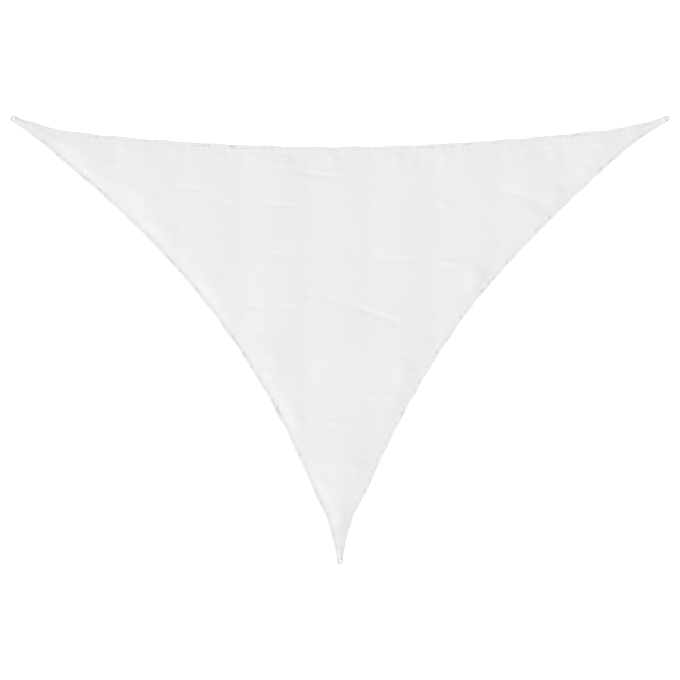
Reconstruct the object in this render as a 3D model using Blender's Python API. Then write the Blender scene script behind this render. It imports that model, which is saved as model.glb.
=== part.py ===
# A three-cornered shade sail laid out flat: one hemmed cloth, and at each corner a webbing loop
# that carries a steel D-ring. Metres, +Z up; the long edge is towards +Y, the far corner towards -Y.
import math

import bpy
import numpy as np
from mathutils import Vector
from mathutils.geometry import delaunay_2d_cdt

for old in list(bpy.data.objects):
    bpy.data.objects.remove(old, do_unlink=True)

# Whole sail, over the rings
SPAN = 6.000
DEPTH = 4.078
UPPER_RING_ANGLE = math.radians(27)     # how far the two upper rings point up from the X axis

# D-ring: a straight bar, two short legs and a round bow, of one wire
WIRE = 0.0063
RING_WIDTH = 0.045
RING_LENGTH = 0.040
BEND_RADIUS = 0.005                     # centre line, at the ends of the bar
WIRE_SIDES = 10
BOW_STEPS = 17                          # odd, so that a facet faces the eye at the bow's middle
BEND_STEPS = 4

# Webbing loop, folded round the bar
WEB_WIDTH = 0.030
WEB_THICK = 0.0015
LEG_LENGTH = 0.112                      # from the bar to the sewn end of the strip
LEG_SLOPE_END = 0.026                   # behind the bar, where the upper leg has come down to the cloth
LOOP_STEPS = 12

# Cloth
CLOTH_THICK = 0.0015
HEM_WIDTH = 0.030
HEM_STEP = 0.004                        # the turned-under layer ends within this width
TIP_WIDTH = 0.048
TIP_SETBACK = 0.001                     # from the bar to the end of the cloth
LIFT_NEAR = 0.22                        # the tip lies on the lower leg up to here from the ring,
LIFT_FAR = 0.42                         # and is down on the floor from here on

GAP = 0.0003                            # between pieces that touch

# The sail's rise above its hem
BILLOW = 0.0050                         # soft bulge inside the hem
BILLOW_RUN = 0.20                       # width over which the bulge comes up
BILLOW_UNEVEN = 0.35
CREASE_PITCH = 0.583                    # packing creases, straight lines along Y
CREASE_RISE = 0.0030                    # arch of the cloth between two creases
CREASE_PARTS = 4                        # columns of points from one crease to the next
FOLD_END_POWER = 0.6                    # how bluntly a fold runs out at its ends

# Spacing of the cloth's points
TAIL_PARTS = 5
MIDDLE_PARTS = 38
ROW_SPACING = 0.125
FOLD_SPACING = 0.10
CLEAR = 0.055                           # least distance from a plain point to a hem or fold point

# Each edge runs counter-clockwise between two ring centres. Its line goes inwards by a straight
# "tail" from the tip to a kink, and between the two kinks it is an arc-like curve.
# kink: distance from the ring, and how far inside the chord; bend: bulge of the tail
EDGE_COLUMNS = ("start", "end", "kink_a", "inset_a", "bend_a",
                "kink_b", "inset_b", "bend_b", "sag", "power", "skew")
EDGES = [
    ("bottom", "right", 0.639, 0.178, 0.845, 0.429, 0.129, 0.165, 0.257, 1.757, -0.121),
    ("right", "left", 0.472, 0.092, 0.393, 0.517, 0.119, 0.347, 0.152, 1.901, 0.013),
    ("left", "bottom", 0.643, 0.151, 0.311, 0.653, 0.186, 0.635, 0.244, 1.957, 0.068),
]

# Main wrinkles: ends of the line, its height (below 0: a shallow trough) and half width
FOLD_COLUMNS = ("x0", "y0", "x1", "y1", "height", "half_width")
FOLDS = [
    (-1.56, 1.40, -1.12, 1.34, -0.0030, 0.030),
    (-1.24, 1.29, -0.26, 1.22, -0.0028, 0.030),
    (-0.50, 1.54, 0.60, 1.39, -0.0038, 0.030),
    (-0.33, 1.30, 0.19, 1.25, -0.0022, 0.030),
    (0.14, 0.77, 0.84, 0.74, -0.0030, 0.030),
    (0.84, 0.74, 1.16, 0.69, 0.0040, 0.030),
    (1.36, 1.41, 1.96, 1.20, -0.0040, 0.030),
    (0.84, 1.33, 1.11, 1.11, 0.0030, 0.030),
    (-0.74, 0.81, -0.39, 0.75, -0.0025, 0.030),
    (-0.92, 0.31, -0.22, 0.27, -0.0022, 0.030),
    (-0.46, 0.44, 0.66, 0.10, -0.0042, 0.035),
    (-0.86, 0.07, -0.54, 0.05, -0.0018, 0.030),
    (-0.35, -0.48, -0.07, -0.52, 0.0025, 0.030),
    (0.17, -0.50, 0.56, -0.52, 0.0028, 0.030),
    (-0.19, -0.73, 0.21, -0.79, 0.0030, 0.030),
]

BAR_BACK = RING_LENGTH - RING_WIDTH / 2 - WIRE / 2      # bow centre to bar centre
BAR_HEIGHT = WEB_THICK + GAP + WIRE / 2
BOW_RADIUS = (RING_WIDTH - WIRE) / 2
TIP_BACK = RING_LENGTH - RING_WIDTH / 2 + TIP_SETBACK   # bow centre to the end of the cloth
INNER_LINE = HEM_WIDTH + HEM_STEP


def corner_frames():
    """Each corner's ring centre, outward direction and left-hand normal, as numpy vectors."""
    reach = RING_WIDTH / 2
    x = SPAN / 2 - reach
    y = DEPTH / 2 - reach
    angles = {"right": UPPER_RING_ANGLE, "left": math.pi - UPPER_RING_ANGLE, "bottom": -math.pi / 2}
    centres = {"right": (x, y), "left": (-x, y), "bottom": (0.0, -y)}
    frames = {}
    for name, angle in angles.items():
        outward = np.array((math.cos(angle), math.sin(angle)))
        normal = np.array((-outward[1], outward[0]))
        frames[name] = (np.array(centres[name]), outward, normal)
    return frames


CORNERS = corner_frames()


def edge_frame(edge):
    """Chord origin, unit direction along it, unit direction inwards, and chord length."""
    start = CORNERS[edge["start"]][0]
    chord = CORNERS[edge["end"]][0] - start
    length = np.linalg.norm(chord)
    along = chord / length
    return start, along, np.array((-along[1], along[0])), length


def tip_point(corner, side):
    """An end of the cloth's short straight tip; side is +1 where the next edge starts."""
    centre, outward, normal = CORNERS[corner]
    return centre - outward * TIP_BACK + normal * side * TIP_WIDTH / 2


def edge_inset(edge, run):
    """How far inside the chord the cloth's edge runs, at the given distances along the chord."""
    start, along, inward, length = edge_frame(edge)
    first = tip_point(edge["start"], 1) - start
    last = tip_point(edge["end"], -1) - start
    run_a, low_a = first @ along, first @ inward
    run_b, low_b = length - last @ along, last @ inward
    tail_a = (run - run_a) / (edge["kink_a"] - run_a)
    tail_b = (length - run - run_b) / (edge["kink_b"] - run_b)
    inset_a = low_a + (edge["inset_a"] - low_a) * (tail_a + edge["bend_a"] * tail_a * (1 - tail_a))
    inset_b = low_b + (edge["inset_b"] - low_b) * (tail_b + edge["bend_b"] * tail_b * (1 - tail_b))
    middle = length - edge["kink_a"] - edge["kink_b"]
    share = np.clip((run - edge["kink_a"]) / middle, 0, 1)
    side = 2 * share - 1
    curve = edge["sag"] * (1 - np.abs(side) ** edge["power"]) * (1 + edge["skew"] * side)
    base = edge["inset_a"] + (edge["inset_b"] - edge["inset_a"]) * share
    return np.where(tail_a < 1, inset_a, np.where(tail_b < 1, inset_b, base + curve))


def edge_line(edge, offset=0.0, parts=1):
    """Points of one edge, moved inwards by offset; parts multiplies their number."""
    start, along, inward, length = edge_frame(edge)
    run_a = (tip_point(edge["start"], 1) - start) @ along
    run_b = (tip_point(edge["end"], -1) - start) @ along
    run = np.concatenate((
        np.linspace(run_a, edge["kink_a"], TAIL_PARTS * parts, endpoint=False),
        np.linspace(edge["kink_a"], length - edge["kink_b"], MIDDLE_PARTS * parts, endpoint=False),
        np.linspace(length - edge["kink_b"], run_b, TAIL_PARTS * parts + 1)))
    inset = edge_inset(edge, run)
    points = start + run[:, None] * along + inset[:, None] * inward
    tangent = np.gradient(points, axis=0)
    tangent /= np.linalg.norm(tangent, axis=1)[:, None]
    return points + offset * np.stack((-tangent[:, 1], tangent[:, 0]), axis=1)


EDGE_ROWS = [dict(zip(EDGE_COLUMNS, row)) for row in EDGES]
FOLD_ROWS = [dict(zip(FOLD_COLUMNS, row)) for row in FOLDS]
FINE_EDGES = [edge_line(edge, parts=6) for edge in EDGE_ROWS]


def distance_to_line(points, line):
    """Least distance from each point to a polyline."""
    start, step = line[:-1], np.diff(line, axis=0)
    offset = points[:, None, :] - start
    share = np.clip((offset * step).sum(2) / (step * step).sum(1), 0, 1)
    return np.linalg.norm(offset - share[:, :, None] * step, axis=2).min(1)


def edge_distance(points):
    """Least distance from each point to any of the three edges."""
    return np.min([distance_to_line(points, line) for line in FINE_EDGES], axis=0)


def inside(points):
    """Whether each point lies inside all three edges."""
    result = np.ones(len(points), bool)
    for edge in EDGE_ROWS:
        start, along, inward, length = edge_frame(edge)
        run = (points - start) @ along
        result &= (points - start) @ inward > edge_inset(edge, np.clip(run, 0, length))
    return result


def hem_loop(offset):
    """The closed line that runs at one distance inside the three edges."""
    pieces = []
    for edge in EDGE_ROWS:
        line = edge_line(edge, offset)
        keep = inside(line) & (edge_distance(line) > offset * 0.97)
        pieces.append(line[keep])
    return np.concatenate(pieces)


def smooth(value):
    """An S-curve from 0 to 1."""
    value = np.clip(value, 0, 1)
    return value * value * (3 - 2 * value)


def fold_height(points):
    """Height of the folds: a roof or a trough along each line, level with the cloth at its ends."""
    total = np.zeros(len(points))
    for fold in FOLD_ROWS:
        start = np.array((fold["x0"], fold["y0"]))
        run = np.array((fold["x1"], fold["y1"])) - start
        share = (points - start) @ run / (run @ run)
        across = np.abs((points - start) @ np.array((-run[1], run[0]))) / np.linalg.norm(run)
        roof = np.clip(1 - across / fold["half_width"], 0, 1)
        total += fold["height"] * roof * np.sin(np.pi * np.clip(share, 0, 1)) ** FOLD_END_POWER
    return total


def rise(points):
    """Height of the cloth above the top of its hem."""
    inner = smooth((edge_distance(points) - INNER_LINE) / BILLOW_RUN)
    x, y = points[:, 0], points[:, 1]
    wave = 0.5 * np.sin(2.3 * x + 3.1 * y + 0.4) + 0.5 * np.sin(4.1 * y - 2.7 * x + 1.2)
    band = np.mod(x / CREASE_PITCH + 0.5, 1)
    arch = CREASE_RISE * 4 * band * (1 - band)
    return inner * (BILLOW * (1 + BILLOW_UNEVEN * wave) + arch + fold_height(points))


def lift(points):
    """Height of the cloth's underside above the floor where the corner webbing lies under it."""
    reach = np.min([np.linalg.norm(points - frame[0], axis=1) for frame in CORNERS.values()], axis=0)
    return (WEB_THICK + GAP) * np.clip((LIFT_FAR - reach) / (LIFT_FAR - LIFT_NEAR), 0, 1)


def fold_points():
    """Points along each fold's middle line and both its sides."""
    points = []
    for fold in FOLD_ROWS:
        start = np.array((fold["x0"], fold["y0"]))
        run = np.array((fold["x1"], fold["y1"])) - start
        length = np.linalg.norm(run)
        normal = np.array((-run[1], run[0])) / length
        steps = np.linspace(0, 1, max(3, round(length / FOLD_SPACING)) + 1)[:, None]
        for side in (-1, 0, 1):
            points.append(start + steps * run + normal * side * fold["half_width"])
    return np.concatenate(points)


def far_from(points, others, least):
    """The points that keep at least this distance from all the others."""
    gaps = np.linalg.norm(points[:, None, :] - others, axis=2).min(1)
    return points[gaps > least]


def field_points():
    """Plain points in columns that follow the packing creases."""
    pitch = CREASE_PITCH / CREASE_PARTS
    half_columns = math.ceil(SPAN / 2 / pitch)
    columns = np.arange(-half_columns, half_columns + 1) * pitch
    rows = np.arange(-DEPTH / 2, DEPTH / 2, ROW_SPACING)
    grid = np.stack(np.meshgrid(columns, rows), axis=2).reshape(-1, 2)
    grid = grid[inside(grid)]
    return grid[edge_distance(grid) > INNER_LINE + CLEAR]


def cloth_layout():
    """Flat points and triangles of the cloth, with its outline and hem lines kept as edges."""
    outline = np.concatenate([edge_line(edge) for edge in EDGE_ROWS])
    loops = [outline, hem_loop(HEM_WIDTH), hem_loop(INNER_LINE)]
    folds = fold_points()
    fields = far_from(field_points(), folds, CLEAR)
    points = np.concatenate(loops + [folds, fields])
    edges, first = [], 0
    for loop in loops:
        count = len(loop)
        edges += [(first + i, first + (i + 1) % count) for i in range(count)]
        first += count
    flat = [Vector(point) for point in points.tolist()]
    found = delaunay_2d_cdt(flat, edges, [], 1, 1e-6)
    return np.array([tuple(point) for point in found[0]]), [tuple(face) for face in found[2]]


def make_object(name, points, faces, colour, roughness, metallic=0.0):
    """A mesh object with its own plain material."""
    mesh = bpy.data.meshes.new(name)
    mesh.from_pydata(points, [], faces)
    mesh.validate()
    material = bpy.data.materials.new(name)
    material.use_nodes = True
    shader = material.node_tree.nodes["Principled BSDF"]
    shader.inputs["Base Color"].default_value = (*colour, 1.0)
    shader.inputs["Roughness"].default_value = roughness
    shader.inputs["Metallic"].default_value = metallic
    mesh.materials.append(material)
    item = bpy.data.objects.new(name, mesh)
    bpy.context.scene.collection.objects.link(item)
    return item


def make_cloth():
    """The hemmed cloth: one layer, two at the hem, closed by a narrow wall along the outline."""
    flat, triangles = cloth_layout()
    count = len(flat)
    hem = edge_distance(flat) < HEM_WIDTH + HEM_STEP / 2
    top = lift(flat) + 2 * CLOTH_THICK + np.where(hem, 0, rise(flat))
    bottom = top - np.where(hem, 2, 1) * CLOTH_THICK
    points = np.concatenate((np.column_stack((flat, top)), np.column_stack((flat, bottom))))
    faces = list(triangles)
    faces += [tuple(count + i for i in reversed(face)) for face in triangles]
    directed = {(face[i], face[(i + 1) % 3]) for face in triangles for i in range(3)}
    for a, b in sorted(directed):
        if (b, a) not in directed:
            faces.append((b, a, a + count, b + count))
    make_object("sail_cloth", points.tolist(), faces, (0.84, 0.84, 0.84), 0.75)


def place(corner, local):
    """World points from corner points: outward, to the left, and up, from the bow's centre."""
    centre, outward, normal = CORNERS[corner]
    flat = centre + local[:, :1] * outward + local[:, 1:2] * normal
    return np.column_stack((flat, local[:, 2]))


def ring_path():
    """The wire's centre line in its own plane, from the bar's left end round the bow."""
    bow = np.linspace(-math.pi / 2, math.pi / 2, BOW_STEPS + 1)
    path = [np.column_stack((np.cos(bow), np.sin(bow))) * BOW_RADIUS]
    bend_out = -BAR_BACK + BEND_RADIUS
    bend_side = BOW_RADIUS - BEND_RADIUS
    for side, first in ((1, math.pi / 2), (-1, math.pi)):
        turn = np.linspace(first, first + math.pi / 2, BEND_STEPS + 1)
        centre = np.array((bend_out, side * bend_side))
        path.append(centre + np.column_stack((np.cos(turn), np.sin(turn))) * BEND_RADIUS)
    return np.concatenate(path)


def make_ring(corner):
    """A D-ring that leans on the floor at its bow, with its bar lifted by the webbing under it."""
    path = ring_path()
    count = len(path)
    tangent = np.roll(path, -1, axis=0) - np.roll(path, 1, axis=0)
    tangent /= np.linalg.norm(tangent, axis=1)[:, None]
    outward = np.column_stack((tangent[:, 1], -tangent[:, 0]))
    turn = (np.arange(WIRE_SIDES) + 0.5) * 2 * math.pi / WIRE_SIDES
    radius = WIRE / 2
    flat = path[:, None, :] + outward[:, None, :] * (np.cos(turn) * radius)[None, :, None]
    up = np.broadcast_to(np.sin(turn) * radius, (count, WIRE_SIDES))
    points = np.concatenate((flat, up[:, :, None]), axis=2).reshape(-1, 3)
    tilt = math.atan2(BAR_HEIGHT - radius, BAR_BACK + BOW_RADIUS)
    out, rest = points[:, 0] + BAR_BACK, points[:, 2].copy()
    points[:, 0] = out * math.cos(tilt) + rest * math.sin(tilt) - BAR_BACK
    points[:, 2] = rest * math.cos(tilt) - out * math.sin(tilt)
    points[:, 2] -= points[:, 2].min()
    faces = []
    for i in range(count):
        here, there = i * WIRE_SIDES, (i + 1) % count * WIRE_SIDES
        for j in range(WIRE_SIDES):
            k = (j + 1) % WIRE_SIDES
            faces.append((here + j, there + j, there + k, here + k))
    item = make_object("ring_" + corner, place(corner, points).tolist(), faces, (0.55, 0.55, 0.56), 0.3, 1.0)
    item.data.shade_smooth()


def loop_path():
    """Centre line of the webbing from the end of its lower leg to the end of its upper leg."""
    radius = WIRE / 2 + GAP + WEB_THICK / 2
    low = WEB_THICK / 2
    high = WEB_THICK + GAP + 2 * CLOTH_THICK + GAP + WEB_THICK / 2
    back = -BAR_BACK
    run, drop = LEG_SLOPE_END, BAR_HEIGHT - high
    slope = math.asin(radius / math.hypot(run, drop)) + math.atan2(drop, run)
    turn = np.linspace(-math.pi / 2, math.pi / 2 + slope, LOOP_STEPS + 1)
    arc = np.column_stack((back + np.cos(turn) * radius, BAR_HEIGHT + np.sin(turn) * radius))
    legs = [(back - LEG_LENGTH, low)], [(back - run, high), (back - LEG_LENGTH, high)]
    return np.concatenate((legs[0], arc, legs[1]))


def make_loop(corner):
    """The folded webbing: its centre line given thickness in its plane, then its width."""
    path = loop_path()
    count = len(path)
    tangent = np.gradient(path, axis=0)
    tangent[0], tangent[-1] = path[1] - path[0], path[-1] - path[-2]
    tangent /= np.linalg.norm(tangent, axis=1)[:, None]
    normal = np.column_stack((-tangent[:, 1], tangent[:, 0])) * WEB_THICK / 2
    section = [path + normal, path - normal]
    points = []
    for side in (-1, 1):
        for line in section:
            points.append(np.column_stack((line[:, 0], np.full(count, side * WEB_WIDTH / 2), line[:, 1])))
    points = np.concatenate(points)
    inner_right, outer_right, inner_left, outer_left = (i * count for i in range(4))
    faces = []
    for i in range(count - 1):
        j = i + 1
        faces.append((outer_right + i, outer_right + j, inner_right + j, inner_right + i))
        faces.append((outer_left + j, outer_left + i, inner_left + i, inner_left + j))
        faces.append((inner_left + j, inner_left + i, inner_right + i, inner_right + j))
        faces.append((outer_left + i, outer_left + j, outer_right + j, outer_right + i))
    last = count - 1
    faces.append((inner_left, outer_left, outer_right, inner_right))
    faces.append((outer_left + last, inner_left + last, inner_right + last, outer_right + last))
    make_object("loop_" + corner, place(corner, points).tolist(), faces, (0.88, 0.88, 0.88), 0.7)


make_cloth()
for corner_name in CORNERS:
    make_loop(corner_name)
    make_ring(corner_name)
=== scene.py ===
import math

import bpy
import numpy as np
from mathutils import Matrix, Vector
from mathutils.geometry import delaunay_2d_cdt


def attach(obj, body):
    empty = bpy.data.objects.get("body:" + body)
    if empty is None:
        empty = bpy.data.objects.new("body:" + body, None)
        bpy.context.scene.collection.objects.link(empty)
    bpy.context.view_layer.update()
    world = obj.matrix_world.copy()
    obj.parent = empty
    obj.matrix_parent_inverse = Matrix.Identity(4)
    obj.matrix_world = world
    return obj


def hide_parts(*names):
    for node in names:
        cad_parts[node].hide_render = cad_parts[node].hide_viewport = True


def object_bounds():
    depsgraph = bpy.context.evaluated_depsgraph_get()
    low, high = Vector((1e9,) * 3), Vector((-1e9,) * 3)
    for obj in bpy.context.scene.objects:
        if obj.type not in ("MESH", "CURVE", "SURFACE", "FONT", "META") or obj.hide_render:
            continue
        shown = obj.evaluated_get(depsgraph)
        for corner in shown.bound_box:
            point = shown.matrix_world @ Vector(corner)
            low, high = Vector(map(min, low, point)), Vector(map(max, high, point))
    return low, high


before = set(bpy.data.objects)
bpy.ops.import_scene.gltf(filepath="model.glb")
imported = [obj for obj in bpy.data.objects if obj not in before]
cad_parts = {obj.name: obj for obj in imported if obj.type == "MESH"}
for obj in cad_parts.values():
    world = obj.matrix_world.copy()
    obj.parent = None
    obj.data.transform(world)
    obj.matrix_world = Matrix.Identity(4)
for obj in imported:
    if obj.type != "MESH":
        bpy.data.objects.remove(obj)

cadLow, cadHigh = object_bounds()
print("frame loaded:", len(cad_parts), "parts")


class Num:
    # wraps a number socket, so that arithmetic on it adds Math nodes
    def __init__(self, finish, socket):
        self.finish, self.socket = finish, socket

    def math(self, operation, *values):
        return self.finish.number("ShaderNodeMath", {"operation": operation}, *values)

    def __add__(self, other):
        return self.math("ADD", self, other)

    def __radd__(self, other):
        return self.math("ADD", other, self)

    def __sub__(self, other):
        return self.math("SUBTRACT", self, other)

    def __rsub__(self, other):
        return self.math("SUBTRACT", other, self)

    def __mul__(self, other):
        return self.math("MULTIPLY", self, other)

    def __rmul__(self, other):
        return self.math("MULTIPLY", other, self)

    def sine(self):
        return self.math("SINE", self)

    def absolute(self):
        return self.math("ABSOLUTE", self)

    def most(self, other):
        return self.math("MAXIMUM", self, other)

    def least(self, other):
        return self.math("MINIMUM", self, other)

    # 0 below low, 1 above high, an S-curve between
    def step(self, low, high):
        settings = {"interpolation_type": "SMOOTHSTEP"}
        return self.finish.number("ShaderNodeMapRange", settings, self, low, high, 0.0, 1.0)


class Finish:
    # one material and the nodes that feed its Principled shader
    def __init__(self, name):
        self.material = bpy.data.materials.new(name)
        self.material.use_nodes = True
        self.nodes = self.material.node_tree.nodes
        self.links = self.material.node_tree.links
        self.shader = self.nodes["Principled BSDF"]

    # any node: its type, its settings, then its sockets in order (None leaves one alone) or by name
    def node(self, kind, settings=None, *values, **named):
        made = self.nodes.new(kind)
        for key, value in (settings or {}).items():
            setattr(made, key, value)
        inputs = [socket for socket in made.inputs if socket.enabled]
        filled = list(zip(inputs, values))
        filled += [(made.inputs[key.replace("_", " ")], value) for key, value in named.items()]
        for socket, value in filled:
            self.fill(socket, value)
        return made

    def fill(self, socket, value):
        if isinstance(value, Num):
            self.links.new(value.socket, socket)
        elif isinstance(value, bpy.types.NodeSocket):
            self.links.new(value, socket)
        elif value is not None:
            socket.default_value = value

    def number(self, kind, settings=None, *values, out=0, **named):
        return Num(self, self.node(kind, settings, *values, **named).outputs[out])

    # the three object coordinates, in metres
    def place(self):
        split = self.node("ShaderNodeSeparateXYZ", None, self.node("ShaderNodeTexCoord").outputs["Object"])
        return [Num(self, split.outputs[axis]) for axis in "XYZ"]

    def vector(self, x, y, z=0.0):
        return self.node("ShaderNodeCombineXYZ", None, x, y, z).outputs[0]

    def attribute(self, name):
        return self.number("ShaderNodeAttribute", {"attribute_name": name}, out="Fac")

    def noise(self, where, scale, detail=3.0, roughness=0.5):
        return self.number("ShaderNodeTexNoise", None, Vector=where, Scale=scale, Detail=detail,
                           Roughness=roughness)

    # from one colour to another; a plain number stands for a grey
    def blend(self, share, first, second):
        first, second = [(end, end, end, 1.0) if isinstance(end, float) else end for end in (first, second)]
        mixed = self.node("ShaderNodeMix", {"data_type": "RGBA"}, share, first, second)
        return [socket for socket in mixed.outputs if socket.enabled][0]

    def bump(self, height, strength, under=None):
        return self.node("ShaderNodeBump", None, Strength=strength, Distance=1.0, Height=height,
                         Normal=under).outputs[0]

    def set(self, **named):
        for key, value in named.items():
            self.fill(self.shader.inputs[key.replace("_", " ")], value)


def smooth(value):
    # S-curve: 3v² - 2v³ between 0 and 1
    value = np.clip(value, 0, 1)
    return value * value * (3 - 2 * value)


def waves(first, second, length, seed, count=7):
    # soft unevenness: a sum of sine waves of about one wavelength, in seeded directions and phases
    rng = np.random.default_rng(seed)
    total = np.zeros(np.broadcast(first, second).shape)
    turns, phases = rng.uniform(0, math.tau, count), rng.uniform(0, math.tau, count)
    for turn, phase, stretch in zip(turns, phases, rng.uniform(0.7, 1.5, count)):
        reach = math.tau / (length * stretch)
        total = total + np.sin((first * math.cos(turn) + second * math.sin(turn)) * reach + phase)
    return total / math.sqrt(count)


def makePiece(name, points, faces, finish, sharp=50):
    # a closed mesh from an array of points and an array of triangles or quads
    mesh = bpy.data.meshes.new(name)
    mesh.vertices.add(len(points))
    mesh.vertices.foreach_set("co", points.astype(np.float32).ravel())
    mesh.loops.add(faces.size)
    mesh.loops.foreach_set("vertex_index", faces.astype(np.int32).ravel())
    mesh.polygons.add(len(faces))
    mesh.polygons.foreach_set("loop_start", np.arange(0, faces.size, faces.shape[1], dtype=np.int32))
    mesh.update(calc_edges=True)
    mesh.materials.append(finish.material)
    mesh.shade_smooth()
    mesh.set_sharp_from_angle(angle=math.radians(sharp))
    piece = bpy.data.objects.new(name, mesh)
    bpy.context.scene.collection.objects.link(piece)
    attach(piece, "root")
    return piece


def keepValues(piece, name, values):
    # one number at each vertex, for the material to read
    layer = piece.data.attributes.new(name, "FLOAT", "POINT")
    layer.data.foreach_set("value", values.astype(np.float32))


def sweep(rings, closed):
    # quads between the points of one ring and the next, where rings is rows x size of point numbers
    ahead = np.roll(rings, -1, axis=0)
    lines = len(rings) if closed else len(rings) - 1
    beside, beyond = np.roll(rings, -1, axis=1), np.roll(ahead, -1, axis=1)
    return np.stack((rings, ahead, beyond, beside), axis=2)[:lines].reshape(-1, 4)


studio = {
    "frameWidth": 6.199,        # what the camera takes in, in metres at the floor
    "lens": 85.0,
    "aside": 0.0027,            # the camera stands a little to the right
    "sight": 200.0,             # how far the camera sees
    "floorTone": 0.97,
    "floorRoughness": 0.9,
    "floorSize": 240.0,
    "floorGap": 0.0002,         # the floor lies this far under the sail
    "worldStrength": 0.92,
    "lampStrength": 1.95,
    "lampElevation": 24.0,      # low, so that folds show
    "lampTurn": 206.0,          # from the left, a little below
    "lampSpread": 12.0,
}


def makeStudio():
    # camera straight above: its height is half the framed width over the tangent of half its angle
    scene = bpy.context.scene
    scene.view_settings.view_transform = "Standard"
    camera = bpy.data.cameras.new("camera")
    camera.lens = studio["lens"]
    camera.clip_end = studio["sight"]
    half = math.atan(camera.sensor_width / 2 / camera.lens)
    spot = bpy.data.objects.new("camera", camera)
    spot.location = (studio["aside"], 0.0, studio["frameWidth"] / 2 / math.tan(half))
    scene.collection.objects.link(spot)
    scene.camera = spot

    floorFinish = Finish("floor")
    floorFinish.set(Base_Color=(*[studio["floorTone"]] * 3, 1.0), Roughness=studio["floorRoughness"])
    half = studio["floorSize"] / 2
    mesh = bpy.data.meshes.new("floor")
    square = [(-half, -half, 0), (half, -half, 0), (half, half, 0), (-half, half, 0)]
    mesh.from_pydata(square, [], [(0, 1, 2, 3)])
    mesh.materials.append(floorFinish.material)
    floor = bpy.data.objects.new("floor", mesh)
    floor.location.z = cadLow.z - studio["floorGap"]
    scene.collection.objects.link(floor)

    scene.world = bpy.data.worlds.new("studio")
    scene.world.use_nodes = True
    background = scene.world.node_tree.nodes["Background"]
    background.inputs["Color"].default_value = (1.0, 1.0, 1.0, 1.0)
    background.inputs["Strength"].default_value = studio["worldStrength"]

    lamp = bpy.data.lights.new("window", "SUN")
    lamp.energy = studio["lampStrength"]
    lamp.angle = math.radians(studio["lampSpread"])
    light = bpy.data.objects.new("window", lamp)
    turn, rise = math.radians(studio["lampTurn"]), math.radians(studio["lampElevation"])
    towards = Vector((math.cos(turn) * math.cos(rise), math.sin(turn) * math.cos(rise), math.sin(rise)))
    light.rotation_mode = "QUATERNION"
    light.rotation_quaternion = towards.to_track_quat("Z", "Y")
    scene.collection.objects.link(light)


makeStudio()
print("studio ready")


sail = {
    "ringWidth": 0.045, "ringLength": 0.040, "wire": 0.0063, "barBend": 0.005,
    "upperRingAngle": 27.0,
    "tipWidth": 0.048, "tipSetback": 0.001,
    "drawIn": 0.0030, "drawInRun": 0.20,        # how far the hem draws in between puckers, and how often
    "drawInEnds": 0.2, "drawInDepth": 0.03,     # where that fades, at the tips and inwards
}
# each edge between two corners: kinks at a distance from each end and that far inside the chord, the
# bend of the two tails, then the sag of the curve between the kinks, its power and its skew
edgeColumns = ("start", "end", "kinkA", "insetA", "bendA", "kinkB", "insetB", "bendB", "sag", "power", "skew")
edges = [dict(zip(edgeColumns, row)) for row in (
    ("bottom", "right", 0.639, 0.178, 0.845, 0.429, 0.129, 0.165, 0.257, 1.757, -0.121),
    ("right", "left", 0.472, 0.092, 0.393, 0.517, 0.119, 0.347, 0.152, 1.901, 0.013),
    ("left", "bottom", 0.643, 0.151, 0.311, 0.653, 0.186, 0.635, 0.244, 1.957, 0.068),
)]


def cornerFrames():
    # each ring's bow centre, the direction out of the corner, and the direction to its left
    reach = sail["ringWidth"] / 2
    x, top, bottom = cadHigh.x - reach, cadHigh.y - reach, cadLow.y + reach
    angle = math.radians(sail["upperRingAngle"])
    rows = {
        "right": (x, top, angle),
        "left": (-x, top, math.pi - angle),
        "bottom": (0.0, bottom, -math.pi / 2),
    }
    made = {}
    for name, (middleX, middleY, turn) in rows.items():
        outward = np.array((math.cos(turn), math.sin(turn)))
        made[name] = (np.array((middleX, middleY)), outward, np.array((-outward[1], outward[0])))
    return made


corners = cornerFrames()


def tipPoint(corner, side):
    # an end of the cloth's short straight tip; side is +1 where the next edge starts
    centre, outward, left = corners[corner]
    back = sail["ringLength"] - sail["ringWidth"] / 2 + sail["tipSetback"]
    return centre - outward * back + left * side * sail["tipWidth"] / 2


def chordOf(edge):
    # the straight line between two corners: its start, direction, direction inwards and length
    start = corners[edge["start"]][0]
    chord = corners[edge["end"]][0] - start
    length = np.linalg.norm(chord)
    along = chord / length
    return start, along, np.array((-along[1], along[0])), length


def insetAt(edge, run):
    # between the kinks: base line + sag (1 - |2t-1|^power); outside them a bent tail down to the tip
    start, along, inward, length = chordOf(edge)
    first, last = tipPoint(edge["start"], 1) - start, tipPoint(edge["end"], -1) - start
    runA, lowA = first @ along, first @ inward
    runB, lowB = length - last @ along, last @ inward
    tailA = (run - runA) / (edge["kinkA"] - runA)
    tailB = (length - run - runB) / (edge["kinkB"] - runB)
    insetA = lowA + (edge["insetA"] - lowA) * (tailA + edge["bendA"] * tailA * (1 - tailA))
    insetB = lowB + (edge["insetB"] - lowB) * (tailB + edge["bendB"] * tailB * (1 - tailB))
    share = np.clip((run - edge["kinkA"]) / (length - edge["kinkA"] - edge["kinkB"]), 0, 1)
    side = 2 * share - 1
    curve = edge["sag"] * (1 - np.abs(side) ** edge["power"]) * (1 + edge["skew"] * side)
    base = edge["insetA"] + (edge["insetB"] - edge["insetA"]) * share
    return np.where(tailA < 1, insetA, np.where(tailB < 1, insetB, base + curve))


def slopeAt(edge, run):
    # the inset's slope along the chord, and the cosine of its angle
    small = 1e-4
    slope = (insetAt(edge, run + small) - insetAt(edge, run - small)) / (2 * small)
    return slope, 1 / np.sqrt(1 + slope * slope)


def drawIn(edge, run):
    # the hem draws in a little between puckers: a sum of sine waves
    return sail["drawIn"] * waves(run, 0 * run, sail["drawInRun"], 11 + edges.index(edge), 5)


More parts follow.
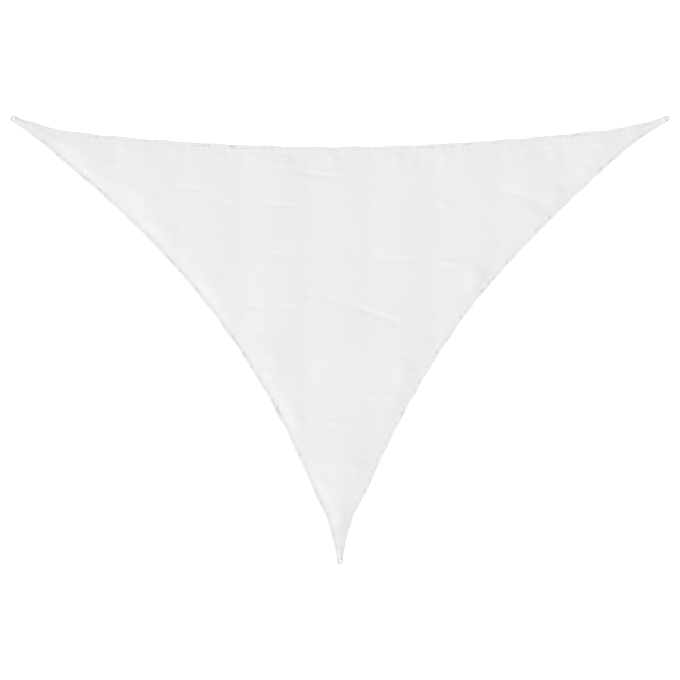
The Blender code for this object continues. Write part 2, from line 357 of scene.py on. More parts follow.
def edgeSpan(edge):
    # where the cloth starts and ends along the chord
    start, along = chordOf(edge)[:2]
    return (tipPoint(edge["start"], 1) - start) @ along, (tipPoint(edge["end"], -1) - start) @ along


def edgeRow(edge, run, depth):
    # points of a line that runs at one depth inside an edge, measured square to its slope
    start, along, inward = chordOf(edge)[:3]
    slope, lean = slopeAt(edge, run)
    first, last = edgeSpan(edge)
    ends = sail["drawInEnds"]
    fade = smooth((run - first) / ends) * smooth((last - run) / ends) * math.exp(-depth / sail["drawInDepth"])
    depth = depth + fade * drawIn(edge, run)
    side = insetAt(edge, run) + depth * lean
    ahead = run - depth * slope * lean
    return start + ahead[:, None] * along + side[:, None] * inward


def edgeFields(points):
    # for each edge: how far inside it each point lies, and how far along it
    rows = []
    for edge in edges:
        start, along, inward = chordOf(edge)[:3]
        run, side = (points - start) @ along, (points - start) @ inward
        first, last = edgeSpan(edge)
        run = np.clip(run, first, last)
        slope, lean = slopeAt(edge, run)
        depth = (side - insetAt(edge, run)) * lean
        rows.append((depth, run + depth * slope * lean))
    return np.array(rows)


cloth = {
    # the sheet, its hem and the webbing under its tips
    "single": 0.0010, "double": 0.0022,         # thickness inside the hem, and of the hem
    "thinnest": 0.0006, "rim": 0.0010, "rimRun": 0.0012,
    "hemWidth": 0.030, "hemStep": 0.003, "stitchDepth": 0.026, "edgeStitchDepth": 0.005,
    "groove": 0.0011, "grooveWidth": 0.0032,
    "lift": 0.0018, "liftNear": 0.22, "liftFar": 0.42, "webEnd": 0.15, "webFade": 0.12,
    # broad relief
    "billow": 0.0065, "billowRun": 0.30, "billowUneven": 0.35, "billowLength": 1.5,
    "rollHeight": 0.0020, "rollDepth": 0.105, "rollWidth": 0.036, "rollBack": 0.13, "rollRun": 0.15,
    "rollTip": 0.40, "rollTipFade": 0.50, "rollWander": 0.25, "rollWanderRun": 0.5,
    "rollUneven": (0.1, 1.5), "rollMost": 2.2,
    "creasePitch": 0.583, "creaseRise": 0.0050, "creaseRound": 1.5, "creaseFade": 0.12,
    "pillowFade": 0.06, "pillowInward": 1.9, "middleY": 0.9,
    # wrinkles: share that tapers, how much gentler the lower side is, width at both ends, unevenness
    "wrinkleTaper": 0.3, "wrinkleLee": 2.4, "wrinkleGrow": (0.8, 0.4), "wrinkleUneven": (0.85, 0.45),
    "wrinkleRun": 0.13, "wrinkleFade": 0.10,
    "dashes": 200, "dashSeed": 5, "dashLong": (0.03, 0.11), "dashWide": (0.010, 0.018),
    "dashHeight": (0.0009, 0.0021), "dashX": (-2.2, 2.2), "dashY": (-1.4, 1.75),
    "dashTurn": (-0.07, 0.06), "dashReach": 0.12,
    "ripple": 0.0003, "rippleLength": 0.085,
    # puckers across the hem and pleats at the corners
    "puckerHeight": (0.0008, 0.0027), "puckerGap": (0.035, 0.125), "puckerWidth": (0.009, 0.018),
    "puckerReach": (0.028, 0.075), "puckerSlant": 0.8, "puckerEnd": 0.18, "puckerFlat": 0.012,
    "puckerPivot": 0.015, "puckerSpread": 0.10, "puckerHem": (0.6, 0.4), "puckerHemDepth": 0.045,
    "gather": 0.0030, "gatherRun": 0.62, "gatherStart": 0.14, "gatherFade": 0.12,
    "pleatLevel": 0.6, "pleats": ((0.5, 31, 2.1), (0.3, 57, 1)),        # size, number and shift
    # spacing of the mesh
    "alongStep": 0.0078, "rowStep": 0.0120, "columnsPerCrease": 16, "columns": 110, "tipParts": 6,
    "rowClear": 0.0012, "tipClear": 0.0205, "fieldClear": 0.009,
    "hemRows": (0.0010, 0.0030, 0.0055, 0.009, 0.014, 0.0195, 0.0235, 0.026, 0.0285, 0.033, 0.039, 0.048,
                0.060),
}
# wrinkles that stand up or dip: both ends, bow of the line, height (below 0: a dip) and half width
wrinkleColumns = ("x0", "y0", "x1", "y1", "bow", "height", "width")
wrinkles = [dict(zip(wrinkleColumns, row)) for row in (
    (-1.56, 1.402, -1.12, 1.343, 0.008, -0.0031, 0.014),
    (-1.24, 1.292, -0.86, 1.212, 0.004, -0.0027, 0.012),
    (-0.96, 1.236, -0.26, 1.220, 0.004, -0.0026, 0.012),
    (-0.86, 1.485, -0.62, 1.480, 0.004, -0.0017, 0.012),
    (-0.50, 1.540, 0.30, 1.435, 0.012, -0.0040, 0.014),
    (0.20, 1.470, 0.60, 1.390, 0.008, -0.0025, 0.013),
    (-0.33, 1.305, 0.19, 1.250, 0.006, -0.0021, 0.013),
    (0.14, 0.770, 0.92, 0.735, -0.008, -0.0029, 0.013),
    (0.84, 0.745, 1.16, 0.695, -0.004, 0.0044, 0.015),
    (1.36, 1.415, 1.96, 1.195, 0.012, -0.0040, 0.016),
    (0.84, 1.330, 1.11, 1.110, 0.010, 0.0029, 0.016),
    (-0.74, 0.815, -0.39, 0.750, 0.006, -0.0025, 0.015),
    (-0.92, 0.315, -0.22, 0.275, 0.006, -0.0021, 0.013),
    (-0.46, 0.440, 0.16, 0.340, 0.006, -0.0042, 0.014),
    (0.02, 0.345, 0.66, 0.100, 0.012, -0.0046, 0.015),
    (-0.86, 0.075, -0.54, 0.050, 0.004, -0.0016, 0.012),
    (-0.50, -0.015, -0.31, -0.020, 0.0, -0.0016, 0.012),
    (-0.35, -0.475, -0.07, -0.520, 0.004, 0.0025, 0.014),
    (0.17, -0.500, 0.56, -0.515, -0.006, 0.0028, 0.014),
    (-0.19, -0.730, 0.21, -0.795, 0.008, 0.0029, 0.015),
    (-0.18, -0.975, 0.04, -1.030, 0.004, 0.0017, 0.013),
    (0.32, -0.610, 0.68, -0.690, 0.006, -0.0021, 0.014),
)]
# soft pillows just inside the hems: middle, half sizes, turn in degrees, height
pillowColumns = ("x", "y", "long", "wide", "turn", "height")
pillows = [dict(zip(pillowColumns, row)) for row in (
    (-2.05, 1.44, 0.21, 0.076, -38, 0.0031),
    (-1.82, 1.30, 0.25, 0.085, -40, 0.0043),
    (-1.58, 0.98, 0.20, 0.076, -47, 0.0043),
    (-1.39, 0.76, 0.23, 0.076, -49, 0.0038),
    (-1.17, 0.50, 0.23, 0.076, -50, 0.0033),
    (-0.61, -0.17, 0.21, 0.076, -58, 0.0035),
    (-0.42, -0.66, 0.20, 0.051, -62, 0.0032),
    (0.00, -1.55, 0.10, 0.045, -80, 0.0012),
    (1.62, 0.82, 0.13, 0.085, 40, 0.0046),
    (1.25, 0.55, 0.18, 0.085, 45, 0.0070),
    (0.58, -0.29, 0.17, 0.076, 58, 0.0068),
    (1.98, 1.30, 0.17, 0.068, 38, 0.0076),
    (0.17, -1.19, 0.11, 0.060, 70, 0.0050),
    (0.00, 1.68, 0.10, 0.051, 0, -0.0032),
    (-1.04, 1.72, 0.09, 0.047, -3, -0.0030),
    (-0.45, 1.69, 0.15, 0.047, -2, -0.0030),
    (0.75, 1.65, 0.13, 0.064, 3, -0.0034),
    (1.29, 1.56, 0.13, 0.068, 5, -0.0037),
    (1.88, 1.72, 0.18, 0.060, 5, -0.0034),
    (-1.85, 1.80, 0.11, 0.047, -5, -0.0028),
    (1.93, 1.35, 0.10, 0.070, 40, 0.0026),
    (2.28, 1.54, 0.09, 0.060, 38, 0.0028),
    (2.37, 1.80, 0.08, 0.050, 15, 0.0040),
    (1.30, 1.00, 0.10, 0.070, 10, 0.0040),
    (-0.15, -1.33, 0.10, 0.045, -66, 0.0030),
)]


def wrinkleHeight(x, y):
    # along each line: height exp(-(c/w)²) with tapered ends, steep above the line and gentle below it
    total = np.zeros(len(x))
    for seed, row in enumerate(wrinkles):
        runX, runY = row["x1"] - row["x0"], row["y1"] - row["y0"]
        length = math.hypot(runX, runY)
        share = ((x - row["x0"]) * runX + (y - row["y0"]) * runY) / length ** 2
        across = ((y - row["y0"]) * runX - (x - row["x0"]) * runY) / length
        inner = np.clip(share, 0, 1)
        across = across - row["bow"] * 4 * inner * (1 - inner)
        taper = smooth(share / cloth["wrinkleTaper"]) * smooth((1 - share) / cloth["wrinkleTaper"])
        level, swing = cloth["wrinkleUneven"]
        uneven = level + swing * waves(share * length, 0 * x, cloth["wrinkleRun"], 71 + seed, 4)
        width = row["width"] * (cloth["wrinkleGrow"][0] + cloth["wrinkleGrow"][1] * inner)
        width = np.where(across > 0, width, width * cloth["wrinkleLee"])
        total += row["height"] * taper * uneven * np.exp(-(across / width) ** 2)
    return total


def dashHeight(x, y):
    # short shallow wrinkles, nearly level, at seeded places: exp(-(u/long)² - (v/wide)²) each
    rng = np.random.default_rng(cloth["dashSeed"])
    total = np.zeros(len(x))
    for _ in range(cloth["dashes"]):
        right, up = x - rng.uniform(*cloth["dashX"]), y - rng.uniform(*cloth["dashY"])
        turn = rng.normal(*cloth["dashTurn"])
        reach, width = rng.uniform(*cloth["dashLong"]), rng.uniform(*cloth["dashWide"])
        height = rng.choice((-1, 1)) * rng.uniform(*cloth["dashHeight"])
        near = (np.abs(right) < 3 * reach) & (np.abs(up) < cloth["dashReach"])
        right, up = right[near], up[near]
        total[near] += height * np.exp(-(right / reach) ** 2 - ((up - right * turn) / width) ** 2)
    return total


def pillowHeight(x, y):
    # round-topped mounds: height (1 - r²)² inside an ellipse, drawn out towards the sail's middle
    total = np.zeros(len(x))
    for row in pillows:
        turn = math.radians(row["turn"])
        right, up = x - row["x"], y - row["y"]
        first = (right * math.cos(turn) + up * math.sin(turn)) / row["long"]
        second = (up * math.cos(turn) - right * math.sin(turn)) / row["wide"]
        inwards = right * -row["x"] + up * (cloth["middleY"] - row["y"]) > 0
        second = np.where(inwards, second / cloth["pillowInward"], second)
        total += row["height"] * np.clip(1 - first ** 2 - second ** 2, 0, 1) ** 2
    return total


def creaseHeight(x):
    # arches between straight packing creases: 1 - |2f-1|^n, so that each crease is a narrow valley
    band = np.mod(x / cloth["creasePitch"] + 0.5, 1)
    return cloth["creaseRise"] * (1 - np.abs(2 * band - 1) ** cloth["creaseRound"])


def rollHeight(depth, run, seed):
    # soft rolls along the hem in places: exp(-((depth - d)/w)²), wide inwards, times an uneven strength
    level, swing = cloth["rollUneven"]
    strength = np.clip(level + swing * waves(run, 0 * run, cloth["rollRun"], seed, 5), 0, cloth["rollMost"])
    wander = waves(run, 0 * run, cloth["rollWanderRun"], seed + 1, 4)
    middle = cloth["rollDepth"] * (1 + cloth["rollWander"] * wander)
    width = np.where(depth < middle, cloth["rollWidth"], cloth["rollBack"])
    return cloth["rollHeight"] * strength * np.exp(-((depth - middle) / width) ** 2)


def puckerHeight(depth, run, seed):
    # short slanting folds across the hem at uneven gaps: height exp(-(a/w)²) exp(-(depth/reach)²)
    rng = np.random.default_rng(seed)
    total = np.zeros(run.shape)
    station = run.min() + cloth["puckerEnd"]
    while station < run.max() - cloth["puckerEnd"]:
        slant = rng.uniform(-1, 1) * cloth["puckerSlant"]
        width, reach = rng.uniform(*cloth["puckerWidth"]), rng.uniform(*cloth["puckerReach"])
        height = cloth["puckerHeight"][0] + np.ptp(cloth["puckerHeight"]) * rng.uniform(0, 1) ** 1.6
        near = np.abs(run - station) < cloth["puckerSpread"]
        aside = (run[near] - station - slant * (depth[near] - cloth["puckerPivot"])) / width
        inwards = np.maximum(depth[near] - cloth["puckerFlat"], 0) / reach
        total[near] += height * np.exp(-aside ** 2 - inwards ** 2)
        station += rng.uniform(*cloth["puckerGap"])
    # the doubled cloth of the hem folds less
    return total * (cloth["puckerHem"][0] + cloth["puckerHem"][1] * smooth(depth / cloth["puckerHemDepth"]))


def grooveHeight(depth):
    # the two stitched lines pull the hem down in narrow grooves: -g exp(-((depth - line)/w)²) each
    total = 0
    for line in (cloth["stitchDepth"], cloth["edgeStitchDepth"]):
        total = total + np.exp(-((depth - line) / cloth["grooveWidth"]) ** 2)
    return -cloth["groove"] * total


def gatherHeight(x, y):
    # pleats that fan out of each corner: two sine waves of the angle, exp(-(r/reach)²) with distance
    total = np.zeros(len(x))
    for seed, (centre, outward, left) in enumerate(corners.values()):
        right, up = x - centre[0], y - centre[1]
        inwards = np.maximum(-right * outward[0] - up * outward[1], 1e-6)
        angle = np.arctan2(right * left[0] + up * left[1], inwards)
        reach = np.hypot(right, up)
        near = np.exp(-(reach / cloth["gatherRun"]) ** 2)
        near = near * smooth((reach - cloth["gatherStart"]) / cloth["gatherFade"])
        pleat = cloth["pleatLevel"]
        for size, number, shift in cloth["pleats"]:
            pleat = pleat + size * np.sin(angle * number + seed * shift)
        total += cloth["gather"] * near * pleat
    return total


def cornerReach(points):
    # distance to the nearest corner
    return np.min([np.hypot(*(points - corner[0]).T) for corner in corners.values()], axis=0)


def clothHeights(points):
    # top and underside of the cloth over the floor: thickness + billow + every relief above, each
    # fading out where the hem or the webbing holds the cloth flat
    x, y = points[:, 0], points[:, 1]
    fields = edgeFields(points)
    depth = np.clip(fields[:, 0].min(0), 0, None)
    beyond = depth - cloth["hemWidth"]
    inner, soft = smooth(beyond / cloth["billowRun"]), smooth(beyond / cloth["pillowFade"])
    reach = cornerReach(points)
    webbed = smooth((reach - cloth["webEnd"]) / cloth["webFade"])
    liftRun = cloth["liftFar"] - cloth["liftNear"]
    lifted = cloth["lift"] * np.clip((cloth["liftFar"] - reach) / liftRun, 0, 1)
    roll = np.max([rollHeight(row[0], row[1], 61 + 7 * i) for i, row in enumerate(fields)], axis=0)
    roll *= smooth((reach - cloth["rollTip"]) / cloth["rollTipFade"])
    pucker = [puckerHeight(np.clip(row[0], 0, None), row[1], 31 + 5 * i) for i, row in enumerate(fields)]
    groove = np.min([grooveHeight(row[0]) for row in fields], axis=0)
    small = cloth["ripple"] * waves(x * 0.25, y * 1.6, cloth["rippleLength"], 21, 9)
    rise = inner * cloth["billow"] * (1 + cloth["billowUneven"] * waves(x, y, cloth["billowLength"], 3))
    rise += soft * (creaseHeight(x) * smooth(depth / cloth["creaseFade"]) + pillowHeight(x, y) + roll)
    rise += smooth(beyond / cloth["wrinkleFade"]) * (wrinkleHeight(x, y) + dashHeight(x, y) + small)
    rise += webbed * gatherHeight(x, y) * soft
    rise += webbed * np.max(pucker, axis=0) + groove
    rounding = cloth["rim"] * np.exp(-depth / cloth["rimRun"])          # the folded edge is round
    hem = 1 - smooth((beyond + cloth["hemStep"] / 3) / cloth["hemStep"])
    thickness = cloth["single"] + (cloth["double"] - cloth["single"]) * hem
    top = lifted + cloth["double"] + rise - rounding
    bottom = np.maximum(lifted + cloth["double"] + rise - groove - thickness, lifted) + rounding
    return np.maximum(top, bottom + cloth["thinnest"]), bottom, depth


def otherEdges(points, edge):
    # least depth inside the edges other than this one
    return np.min([row[0] for row, other in zip(edgeFields(points), edges) if other is not edge], axis=0)


def clothLayout():
    # flat points: rows along each edge, and a field of rows between; then one triangulation
    step = cloth["alongStep"]
    outline, rows = [], []
    for edge in edges:
        first, last = edgeSpan(edge)
        run = np.linspace(first, last, round((last - first) / step))
        outline.append(edgeRow(edge, run, 0.0))
        nextTip = tipPoint(edge["end"], 1)
        share = np.linspace(0, 1, cloth["tipParts"] + 1)[1:-1, None]
        outline.append(outline[-1][-1] * (1 - share) + nextTip * share)
        for number, depth in enumerate(cloth["hemRows"]):
            line = edgeRow(edge, run + (number % 2) * step * 0.5, depth)
            tip = np.min([(centre - line) @ outward for centre, outward, left in corners.values()], axis=0)
            clear = otherEdges(line, edge) > depth + cloth["rowClear"]
            rows.append(line[clear & (tip > cloth["tipClear"])])
    outline = np.concatenate(outline)
    half = cloth["columns"]
    xs = np.arange(-half, half + 1) * cloth["creasePitch"] / cloth["columnsPerCrease"]
    ys = np.arange(cadLow.y, cadHigh.y, cloth["rowStep"])
    gridX, gridY = np.meshgrid(xs, ys)
    gridY = gridY + (np.arange(len(xs)) % 2) * cloth["rowStep"] / 2
    field = np.stack((gridX, gridY), axis=2).reshape(-1, 2)
    field = field[edgeFields(field)[:, 0].min(0) > cloth["hemRows"][-1] + cloth["fieldClear"]]
    points = np.concatenate([outline] + rows + [field])
    ring = [(i, (i + 1) % len(outline)) for i in range(len(outline))]
    found = delaunay_2d_cdt([Vector(point) for point in points.tolist()], ring, [], 1, 1e-7)
    return np.array([tuple(point) for point in found[0]]), np.array([tuple(face) for face in found[2]])


def makeClothMesh(finish):
    # top and underside on the same flat points, closed by a wall along every side with one triangle
    flat, triangles = clothLayout()
    top, bottom, depth = clothHeights(flat)
    count = len(flat)
    sides = np.concatenate((triangles[:, [0, 1]], triangles[:, [1, 2]], triangles[:, [2, 0]]))
    forward, backward = sides[:, 0] * count + sides[:, 1], sides[:, 1] * count + sides[:, 0]
    rim = sides[~np.isin(forward, backward)]
    a, b = rim[:, 0], rim[:, 1]
    walls = [np.stack((b, a, a + count), axis=1), np.stack((b, a + count, b + count), axis=1)]
    points = np.concatenate((np.column_stack((flat, top)), np.column_stack((flat, bottom))))
    everything = np.concatenate((triangles, triangles[:, ::-1] + count, *walls))
    piece = makePiece("clothSheet", points, everything, finish)
    fields = edgeFields(flat)
    nearest = fields[:, 0].argmin(0)
    along = np.take_along_axis(fields[:, 1], nearest[None], axis=0)[0]
    kept = {"hemDepth": depth, "hemRun": along + nearest * 10.0, "tipReach": cornerReach(flat)}
    for name, values in kept.items():
        keepValues(piece, name, np.tile(values, 2))
    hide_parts("sail_cloth")
    print("cloth:", len(everything), "triangles, up to", round(top.max() * 1000, 1), "mm high")
    return piece


clothLook = {
    # the two darker hem tones here are painted shade: along the stitched lines, and between the puckers
    "tone": 0.726, "shade": 0.712, "hemShade": 0.60, "puckerShade": 0.59,
    "weave": 0.00110, "weaveRelief": 0.00003,           # pitch and height of the plain weave
    "streakRelief": 0.00045, "fineRelief": 0.00015,
    "slope": 0.07,                                      # the small wrinkles slope a little down to the right
    "corner": 0.26, "cornerShadeRun": (0.16, 0.62),          # painted shade in patches near the corners, where the cloth is doubled and gathered
    "seamShade": (0.12, 0.80), "edgeSeamShade": (0.22, 0.50),     # least painted shade along a stitched line, and more
}


def makeClothFinish():
    # near-white cloth: broad tone patches; painted shade along the stitched lines, in dots between the hem's
    # puckers and in patches at the corners; streaks and plain weave
    finish = Finish("coatedCloth")
    x, y = finish.place()[:2]
    depth, run, reach = [finish.attribute(name) for name in ("hemDepth", "hemRun", "tipReach")]
    broad = finish.noise(finish.vector(x * 0.9, y * 0.9), 1.6, 3.0)
    level = y + x * clothLook["slope"]
    streak = finish.noise(finish.vector(x * 2.4, level * 22.0), 1.0, 2.0, 0.5).step(0.52, 0.78)
    fine = finish.noise(finish.vector(x * 7.0, level * 60.0), 1.0, 2.0, 0.5)
    # plain weave: product of two sines at the thread's pitch
    rate = math.tau / clothLook["weave"]
    weave = (x * rate).sine() * (y * rate).sine()
    hemBand = 1 - depth.step(cloth["hemWidth"] - 0.002, cloth["hemWidth"] + 0.002)
    # painted shade: darker bands along the two stitched lines and the folded edge, standing in for the shade
    # in their grooves
    line = 1 - (depth - cloth["stitchDepth"]).absolute().step(0.0005, 0.0075)
    edgeLine = 1 - (depth - cloth["edgeStitchDepth"]).absolute().step(0.0005, 0.0065)
    dashes = finish.noise(finish.vector(run * 16.0, depth * 30.0), 1.0, 2.0).step(0.40, 0.68)
    # painted shadow: irregular dark dots across the hem, standing in for the shade between its puckers; half
    # as strong near the tips
    puckerShadow = finish.noise(finish.vector(run * 13.0, depth * 22.0), 1.0, 2.0, 0.6).step(0.55, 0.66)
    puckerShadow = puckerShadow * (1 - depth.step(0.024, 0.042)) * (0.5 + 0.5 * reach.step(0.1, 0.4))
    (least, more), (edgeLeast, edgeMore) = clothLook["seamShade"], clothLook["edgeSeamShade"]
    seamShade = line * (least + dashes * more) + edgeLine * (edgeLeast + dashes * edgeMore)
    # painted shade: noisy darker patches that fade out with distance from each corner
    cornerShade = finish.noise(finish.vector(x * 9.0, y * 9.0), 1.0, 2.0).step(0.38, 0.62)
    cornerShade = cornerShade * (1 - reach.step(*clothLook["cornerShadeRun"])) * clothLook["corner"]
    tone = finish.blend(broad.step(0.3, 0.7), clothLook["shade"], clothLook["tone"])
    colour = finish.blend(puckerShadow.most(cornerShade), tone, clothLook["puckerShade"])
    colour = finish.blend(seamShade.least(1.0), colour, clothLook["hemShade"])
    relief = finish.bump(streak * clothLook["streakRelief"] + fine * clothLook["fineRelief"], 0.6)
    relief = finish.bump(weave * clothLook["weaveRelief"], 0.5, relief)
    finish.set(Base_Color=colour, Roughness=0.62 + broad * 0.12 - hemBand * 0.04, Normal=relief)
    finish.set(Sheen_Weight=0.08, Sheen_Roughness=0.5, Specular_IOR_Level=0.35)
    return finish


clothPiece = makeClothMesh(makeClothFinish())


thread = {
    "pitch": 0.0050, "length": 0.0038, "radius": 0.00034, "tone": 0.74, "twist": 0.0007,
    # along one stitch: where its four rings stand, how thick each is, and how far it sinks in
    "shares": (0.0, 0.22, 0.78, 1.0), "swell": (0.25, 1.0, 1.0, 0.25), "sink": (-1.0, 0.35, 0.35, -1.0),
    "endGap": 0.004, "crossing": 0.0015,
}


def stitchMesh(starts, ends, heights, radius):
    # each stitch is a short spindle of four sides that dips into the cloth at both ends
    count = len(starts)
    share, swell, sink = [np.array(thread[name]) for name in ("shares", "swell", "sink")]
    along = ends - starts
    across = np.stack((-along[:, 1], along[:, 0]), axis=1)
    across /= np.linalg.norm(across, axis=1)[:, None]
    turn = np.arange(4) * math.tau / 4 + math.tau / 8
    flat = starts[:, None, None, :] + along[:, None, None, :] * share[None, :, None, None]
    aside, above = np.cos(turn)[None] * swell[:, None], np.sin(turn)[None] * swell[:, None] + sink[:, None]
    flat = flat + across[:, None, None, :] * (aside * radius)[None, :, :, None]
    up = heights[:, :, None] + above[None] * radius
    points = np.concatenate((flat, up[..., None]), axis=3).reshape(-1, 3)
    rings = np.arange(16).reshape(4, 4)
    faces = np.concatenate((sweep(rings, False)[:, ::-1], [rings[0, ::-1]], [rings[3]]))
    faces = faces[None] + (np.arange(count) * 16)[:, None, None]
    return points, faces.reshape(-1, 4)


def makeThreadFinish():
    # off-white, with a twist of slanting sine ridges
    finish = Finish("whiteThread")
    x, y, z = finish.place()
    twist = ((x + y * 0.6) * (math.tau / thread["twist"])).sine()
    tone = finish.blend(finish.noise(finish.vector(x, y, z), 60.0), thread["tone"] * 0.93, thread["tone"])
    finish.set(Base_Color=tone, Roughness=0.5, Normal=finish.bump(twist * 0.00006, 0.6))
    return finish


def makeHemStitches(finish):
    # two lines of stitches along each edge, one pitch apart, laid on the cloth's own height
    starts, ends = [], []
    for edge in edges:
        first, last = edgeSpan(edge)
        for depth in (cloth["stitchDepth"], cloth["edgeStitchDepth"]):
            run = np.arange(first + thread["endGap"], last - thread["endGap"], thread["pitch"])
            a, b = edgeRow(edge, run, depth), edgeRow(edge, run + thread["length"], depth)
            keep = otherEdges(a, edge) > depth + thread["crossing"]
            starts.append(a[keep])
            ends.append(b[keep])
    starts, ends = np.concatenate(starts), np.concatenate(ends)
    heights = []
    for share in thread["shares"]:
        heights.append(clothHeights(starts * (1 - share) + ends * share)[0])
    points, faces = stitchMesh(starts, ends, np.stack(heights, axis=1), thread["radius"])
    piece = makePiece("hemStitches", points, faces, finish)
    print("hem stitches:", len(starts))
    return piece


threadFinish = makeThreadFinish()
hemStitches = makeHemStitches(threadFinish)


webbing = {
    "width": 0.030, "thick": 0.0015, "leg": 0.112, "slopeEnd": 0.026, "gap": 0.0003, "clear": 0.0002,
    "legSteps": 40, "turnSteps": 30, "slopeSteps": 13, "widthSteps": 17, "selvedgeSteps": 7,
    # tone for the ribs' tops; shade is painted shade in the grooves between them
    "tone": 0.77, "shade": 0.70, "rib": 0.0016, "warp": 0.0012, "slant": 0.9,
    # the sewn box: how far its near and far ends and its sides stand in, its second bar, its stitches
    "boxNear": 0.034, "boxFar": 0.005, "boxSide": 0.0035, "barGap": 0.003,
    "stitch": 0.0036, "stitchShare": 0.74, "stitchRadius": 0.00036,
}


def barBack():
    # from the bow's centre back to the middle of the bar
    return sail["ringLength"] - sail["ringWidth"] / 2 - sail["wire"] / 2


def loopLine():
    # lower leg, arc round the bar, straight slope and upper leg; then evened out where they meet
    wire, gap, thick = sail["wire"], webbing["gap"], webbing["thick"]
    radius = wire / 2 + gap + thick / 2
    barHigh = thick + gap + wire / 2
    back = -barBack()
    low, high = thick / 2, cloth["lift"] + cloth["double"] + gap + thick / 2 + webbing["clear"]
    run, drop = webbing["slopeEnd"], barHigh - high
    slope = math.asin(radius / math.hypot(run, drop)) + math.atan2(drop, run)
    legs, turns = webbing["legSteps"], webbing["turnSteps"]
    turn = np.linspace(-math.pi / 2, math.pi / 2 + slope, turns)
    arc = np.column_stack((back + np.cos(turn) * radius, barHigh + np.sin(turn) * radius))
    out = np.linspace(back - webbing["leg"], back, legs, endpoint=False)
    lower = np.column_stack((out, np.full(legs, low)))
    share = np.linspace(0, 1, webbing["slopeSteps"] + 1)[1:, None]
    down = arc[-1] * (1 - share) + np.array((back - run, high)) * share
    out = np.linspace(back - run, back - webbing["leg"], legs)[1:]
    upper = np.column_stack((out, np.full(legs - 1, high)))
    line = np.concatenate((lower, arc, down, upper))
    first, last = legs + turns, -legs * 3 // 4
    for _ in range(3):
        line[first:last] = (line[first - 1:last - 1] + 2 * line[first:last] + line[first + 1:last + 1]) / 4
    return line


def webProfile():
    # flat strip with half-round selvedges
    half, thick, steps = webbing["width"] / 2, webbing["thick"] / 2, webbing["widthSteps"]
    side = np.linspace(-1, 1, steps)
    turn = np.linspace(math.pi / 2, -math.pi / 2, webbing["selvedgeSteps"])[1:-1]
    top = np.column_stack((side * (half - thick), np.full(steps, thick)))
    right = np.column_stack((half - thick + np.cos(turn) * thick, np.sin(turn) * thick))
    return np.concatenate((top, right, -top, -right))


def makeLoop(corner, finish):
    # the strip's profile carried along its line: out and up by the line's normal, aside by its width
    line, profile = loopLine(), webProfile()
    step = np.gradient(line, axis=0)
    step /= np.linalg.norm(step, axis=1)[:, None]
    normal = np.column_stack((-step[:, 1], step[:, 0]))
    out = line[:, None, 0] - profile[None, :, 1] * normal[:, None, 0]
    up = line[:, None, 1] - profile[None, :, 1] * normal[:, None, 1]
    side = np.broadcast_to(profile[None, :, 0], out.shape)
    centre, outward, left = corners[corner]
    flat = centre + out[..., None] * outward + side[..., None] * left
    points = np.concatenate((flat, up[..., None]), axis=2).reshape(-1, 3)
    rows, size = out.shape
    rings = np.arange(rows * size).reshape(rows, size)
    # each cut end is closed by strips across it, between the points that face each other
    across = np.arange(size // 2 - 1)
    cap = np.column_stack((across, across + 1, size - 2 - across, size - 1 - across))
    faces = np.concatenate((sweep(rings, False), rings[0][cap], rings[-1][cap[:, ::-1]]))
    piece = makePiece("loop" + corner.title(), points, faces, finish)
    length = np.concatenate(([0], np.cumsum(np.linalg.norm(np.diff(line, axis=0), axis=1))))
    keepValues(piece, "webRun", np.repeat(length, size))
    keepValues(piece, "webSide", np.tile(profile[:, 0], rows))
    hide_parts("loop_" + corner)
    return piece


def makeWebbingFinish():
    # herringbone: slanting ribs that turn at the middle of the strip, over fine warp lines
    finish = Finish("wovenWebbing")
    run, side = finish.attribute("webRun"), finish.attribute("webSide")
    slant = (run + side.absolute() * webbing["slant"]) * (math.tau / webbing["rib"])
    rib = slant.sine() * 0.5 + 0.5
    warp = (side * (math.tau / webbing["warp"])).sine() * 0.5 + 0.5
    worn = finish.noise(finish.vector(run * 60.0, side * 90.0), 1.0)
    # colour darker where the ribs and warp lines are low: painted shade in the weave's grooves, with uneven
    # wear tone from the worn noise
    tone = finish.blend((rib * 0.6 + warp * 0.2 + worn * 0.4).least(1.0), webbing["shade"], webbing["tone"])
    finish.set(Base_Color=tone, Roughness=0.55 + worn * 0.15, Sheen_Weight=0.1,
               Normal=finish.bump(rib * 0.00022 + warp * 0.0001, 0.8))
    return finish


def makeLoopStitches(corner, finish):
    # a sewn box with a cross in it on the upper leg, and a bar of stitches close to the ring
    centre, outward, left = corners[corner]
    near, far = -barBack() - webbing["boxNear"], -barBack() - webbing["leg"] + webbing["boxFar"]
    half, bar = webbing["width"] / 2 - webbing["boxSide"], near + webbing["barGap"]
    box = [((near, -half), (far, -half)), ((far, -half), (far, half)), ((far, half), (near, half)),
           ((near, half), (near, -half)), ((near, -half), (far, half)), ((near, half), (far, -half)),
           ((bar, -half), (bar, half))]
    starts, ends = [], []
    for a, b in box:
        a, b = np.array(a), np.array(b)
        number = max(2, int(np.linalg.norm(b - a) / webbing["stitch"]))
        share = np.arange(number)[:, None] / number
        part = webbing["stitchShare"] / number
        starts.append(a + (b - a) * share)
        ends.append(a + (b - a) * (share + part))
    starts, ends = np.concatenate(starts), np.concatenate(ends)
    starts = centre + starts[:, :1] * outward + starts[:, 1:] * left
    ends = centre + ends[:, :1] * outward + ends[:, 1:] * left
    high = cloth["lift"] + cloth["double"] + webbing["gap"] + webbing["thick"] + webbing["clear"]
    high = np.full((len(starts), 4), high)
    points, faces = stitchMesh(starts, ends, high, webbing["stitchRadius"])
    return makePiece("loopStitches" + corner.title(), points, faces, finish)


webbingFinish = makeWebbingFinish()
loops = [makeLoop(corner, webbingFinish) for corner in corners]
loopStitches = [makeLoopStitches(corner, threadFinish) for corner in corners]
print("webbing loops:", len(loops))


ringLook = {
    "tone": 0.66, "shade": 0.52, "cloud": 160.0, "scratch": (900.0, 2500.0),
    "sides": 20, "bowSteps": 72, "bendSteps": 10, "barSteps": 16, "legSteps": 8,
}


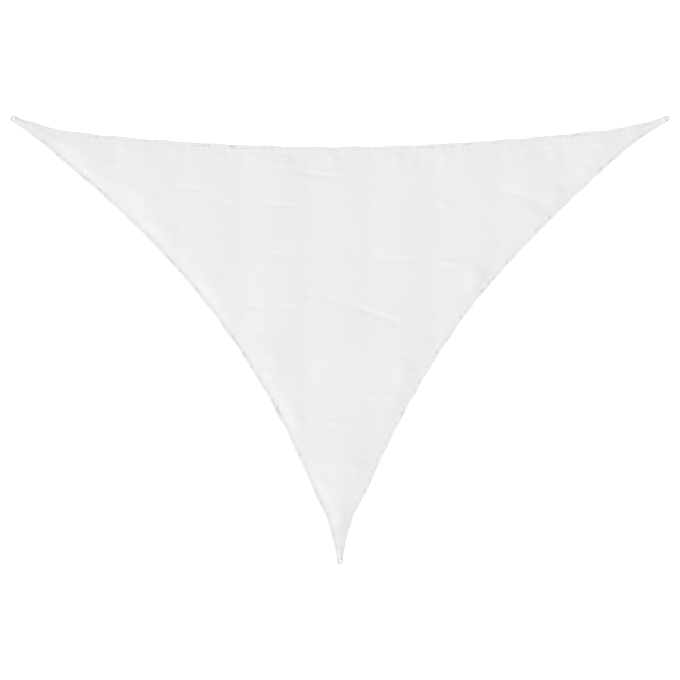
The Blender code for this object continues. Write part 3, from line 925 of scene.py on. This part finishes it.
def ringLine():
    # bow, leg, bend, bar, bend, leg: a closed line in the ring's own plane
    bow = (sail["ringWidth"] - sail["wire"]) / 2
    back, bend = barBack(), sail["barBend"]
    turn = np.linspace(-math.pi / 2, math.pi / 2, ringLook["bowSteps"])
    curve = np.column_stack((np.cos(turn), np.sin(turn))) * bow
    turn = np.linspace(math.pi / 2, math.pi, ringLook["bendSteps"])
    first = np.column_stack((-back + bend + np.cos(turn) * bend, bow - bend + np.sin(turn) * bend))
    leg = np.linspace(curve[-1], first[0], ringLook["legSteps"])[1:-1]
    second = first[::-1] * (1, -1)
    bar = np.linspace(first[-1], second[0], ringLook["barSteps"])[1:-1]
    return np.concatenate((curve, leg, first, bar, second, leg[::-1] * (1, -1)))


def makeRing(corner, finish):
    # a round wire carried along the D, leaning from the lifted bar down to the floor at its bow
    line, sides = ringLine(), ringLook["sides"]
    step = np.roll(line, -1, axis=0) - np.roll(line, 1, axis=0)
    step /= np.linalg.norm(step, axis=1)[:, None]
    outer = np.column_stack((step[:, 1], -step[:, 0]))
    turn = np.arange(sides) * math.tau / sides
    radius = sail["wire"] / 2
    flat = line[:, None, :] + outer[:, None, :] * (np.cos(turn) * radius)[None, :, None]
    up = np.broadcast_to(np.sin(turn) * radius, flat.shape[:2])
    out, side = flat[..., 0], flat[..., 1]
    back = barBack()
    barHigh = webbing["thick"] + webbing["gap"] + radius
    tilt = math.atan2(barHigh - radius, back + (sail["ringWidth"] - sail["wire"]) / 2)
    lever = out + back
    out = lever * math.cos(tilt) + up * math.sin(tilt) - back
    up = up * math.cos(tilt) - lever * math.sin(tilt) + barHigh
    centre, outward, left = corners[corner]
    ground = centre + out[..., None] * outward + side[..., None] * left
    points = np.concatenate((ground, up[..., None]), axis=2).reshape(-1, 3)
    faces = sweep(np.arange(len(line) * sides).reshape(-1, sides), True)
    piece = makePiece("ring" + corner.title(), points, faces, finish, 80)
    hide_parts("ring_" + corner)
    return piece


def makeSteelFinish():
    # grey metal with cloudy roughness and very fine drawn scratches
    finish = Finish("drawnSteel")
    x, y, z = finish.place()
    cloud = finish.noise(finish.vector(x, y, z), ringLook["cloud"], 3.0)
    level, up = ringLook["scratch"]
    scratch = finish.noise(finish.vector(x * level, y * level, z * up), 1.0, 2.0)
    tone = finish.blend(cloud, ringLook["shade"], ringLook["tone"])
    finish.set(Base_Color=tone, Metallic=1.0, Roughness=0.34 + cloud * 0.16,
               Normal=finish.bump(scratch * 0.00002, 0.5))
    return finish


steelFinish = makeSteelFinish()
rings = [makeRing(corner, steelFinish) for corner in corners]
print("rings:", len(rings))
